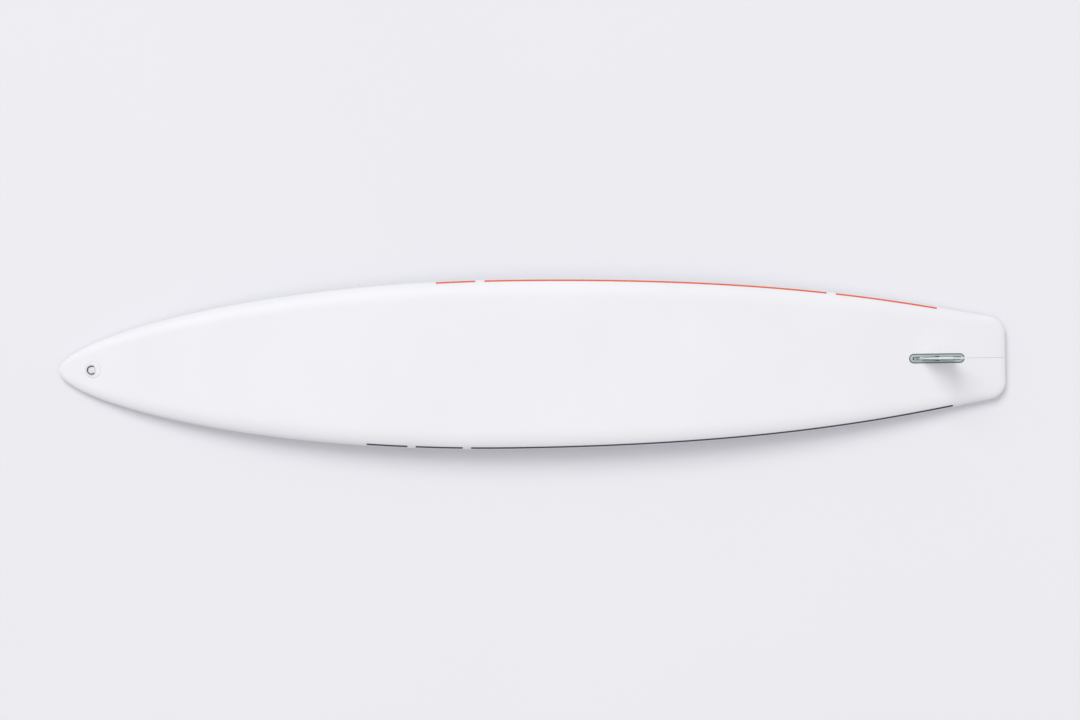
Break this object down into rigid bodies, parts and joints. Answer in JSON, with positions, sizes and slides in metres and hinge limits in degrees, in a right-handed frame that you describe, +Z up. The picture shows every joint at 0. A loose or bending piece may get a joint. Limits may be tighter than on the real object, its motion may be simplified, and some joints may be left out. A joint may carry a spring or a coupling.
{
  "type": "longboard surfboard",
  "caption": "Long pointed-nose surfboard, deck down, with a sliding centre fin in a fin box, a folding nose ring and a leash cup.",
  "frame": {"origin": "on the floor under the middle of the board's length and width, the board lying on its deck", "axes": "+X from the nose to the tail, +Y to the port rail, +Z up out of the bottom, along the fin"},
  "size_m": [3.2, 0.5716, 0.2817],
  "materials": {
    "skin_gloss": "polished clear resin over white",
    "foam": "bare foam, matt",
    "stringer_wood": "sawn softwood, unfinished",
    "dense_foam": "matt dense foam",
    "fin_box_plastic": "satin grey-green plastic",
    "fin_glassfibre": "polished laminate",
    "stainless": "polished stainless steel",
    "brass": "dull brass",
    "fitting_plastic": "satin white plastic",
    "cup_plastic": "satin dark plastic",
    "red_tape": "coral red pinline under gloss",
    "navy_tape": "navy pinline under gloss",
    "grey_ink": "faint grey drawn line"
  },
  "bodies": {
    "board": {"bottom_skin": "skin_gloss", "deck_skin": "skin_gloss", "foam_port": "foam", "foam_starboard": "foam", "stringer": "stringer_wood", "fin_box_block": "dense_foam", "nose_ring_block": "dense_foam", "leash_cup_block": "dense_foam", "fin_box": "fin_box_plastic", "nose_ring_base": "fitting_plastic", "leash_cup": "cup_plastic", "leash_bar": "stainless", "red_pinline_1": "red_tape", "red_pinline_2": "red_tape", "red_pinline_3": "red_tape", "navy_pinline_1": "navy_tape", "navy_pinline_2": "navy_tape", "navy_pinline_3": "navy_tape", "centre_line": "grey_ink"},
    "fin": {"fin": "fin_glassfibre", "fin_plate": "stainless", "fin_pin": "brass"},
    "fin_screw": {"fin_screw": "brass"},
    "nose_ring": {"nose_ring": "stainless"}
  },
  "joints": [
    {"name": "fin_slide", "type": "slide", "parent": "board", "child": "fin", "axis": [0.9936, 0, -0.1125], "range_m": [-0.003, 0.0225]},
    {"name": "fin_screw_turn", "type": "hinge", "parent": "fin", "child": "fin_screw", "pos_m": [1.29743, 0, 0.07324], "axis": [0.1125, 0, 0.9936], "continuous": true},
    {"name": "nose_ring_fold", "type": "hinge", "parent": "board", "child": "nose_ring", "pos_m": [-1.47955, 0, 0.04983], "axis": [0, 1, 0], "range_deg": [0, 180]}
  ]
}
